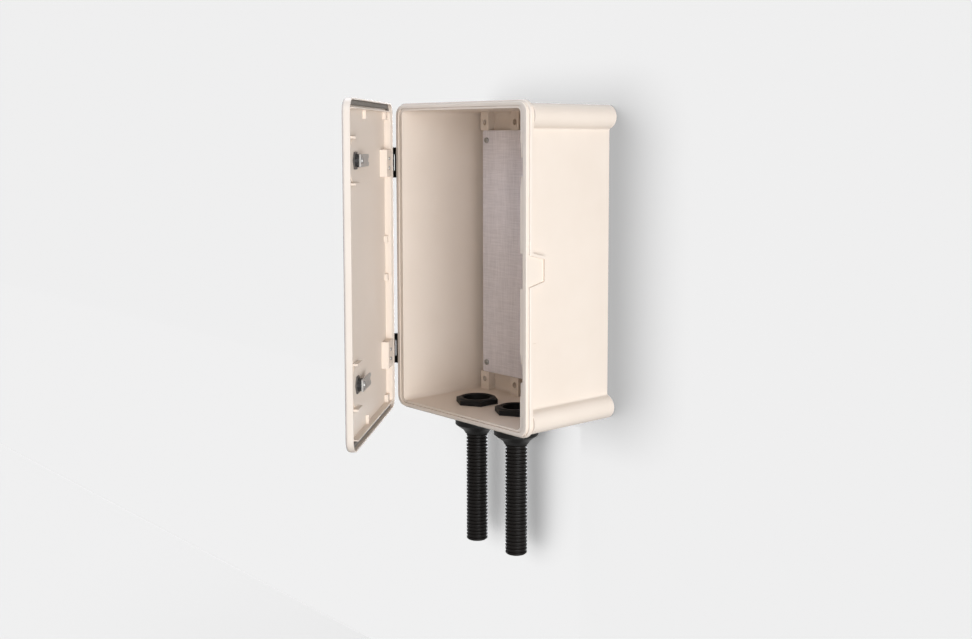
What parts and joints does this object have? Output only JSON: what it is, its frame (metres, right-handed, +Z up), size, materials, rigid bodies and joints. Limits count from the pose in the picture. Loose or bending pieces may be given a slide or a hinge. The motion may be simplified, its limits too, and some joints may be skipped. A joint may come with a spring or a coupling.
{
  "type": "link box",
  "caption": "Wall-mounted moulded plastic link box with a hinged cam-lock door, inner steel plate and corrugated conduit entries below.",
  "frame": {"origin": "middle of the wall fixing holes, on the rear face of the box", "axes": "+Z up along the wall, +Y into the wall, +X to the right seen from the front; the hinges are at -X"},
  "size_m": [0.3391, 0.4257, 0.7166],
  "materials": {
    "enclosure": "warm white moulded plastic, satin",
    "door_skin": "warm white moulded plastic, satin",
    "galvanised_plate": "galvanised sheet steel, fine spangle",
    "bright_steel": "zinc plated steel",
    "grey_seal": "grey foam rubber",
    "hinge_black": "black moulded nylon",
    "lock_barrel": "dark plated zinc casting",
    "lock_nut": "zinc plated steel",
    "lock_cam": "zinc plated sheet steel",
    "fitting_black": "black moulded nylon",
    "conduit_black": "black corrugated nylon",
    "black_rubber": "black rubber"
  },
  "bodies": {
    "box": {"box_body": "enclosure", "mounting_plate": "galvanised_plate", "keep_tabs": "enclosure", "plate_screws": "bright_steel", "hinge_box_screws": "bright_steel", "hinge_box_leaf_upper": "hinge_black", "hinge_pin_upper": "bright_steel", "hinge_box_leaf_lower": "hinge_black", "hinge_pin_lower": "bright_steel", "conduit_locknut_left": "fitting_black", "conduit_adaptor_left": "fitting_black", "conduit_left": "conduit_black", "sealing_washer_left": "black_rubber", "conduit_locknut_right": "fitting_black", "conduit_adaptor_right": "fitting_black", "conduit_right": "conduit_black", "sealing_washer_right": "black_rubber"},
    "door": {"door": "door_skin", "door_gasket": "grey_seal", "hinge_door_screws": "bright_steel", "hinge_door_leaf_upper": "hinge_black", "lock_housing_upper": "lock_barrel", "lock_nut_upper": "lock_nut", "hinge_door_leaf_lower": "hinge_black", "lock_housing_lower": "lock_barrel", "lock_nut_lower": "lock_nut"},
    "lock_upper": {"lock_spindle_upper": "lock_barrel", "lock_cam_upper": "lock_cam", "cam_screw_upper": "bright_steel"},
    "lock_lower": {"lock_spindle_lower": "lock_barrel", "lock_cam_lower": "lock_cam", "cam_screw_lower": "bright_steel"}
  },
  "joints": [
    {"name": "door_hinge", "type": "hinge", "parent": "box", "child": "door", "pos_m": [-0.17, -0.18075, 0], "axis": [0, 0, -1], "range_deg": [-47, 73]},
    {"name": "lock_upper_turn", "type": "hinge", "parent": "door", "child": "lock_upper", "pos_m": [0.01141, -0.37529, 0.162], "axis": [0.7314, 0.682, 0], "range_deg": [0, 180]},
    {"name": "lock_lower_turn", "type": "hinge", "parent": "door", "child": "lock_lower", "pos_m": [0.01141, -0.37529, -0.162], "axis": [0.7314, 0.682, 0], "range_deg": [0, 180]}
  ]
}
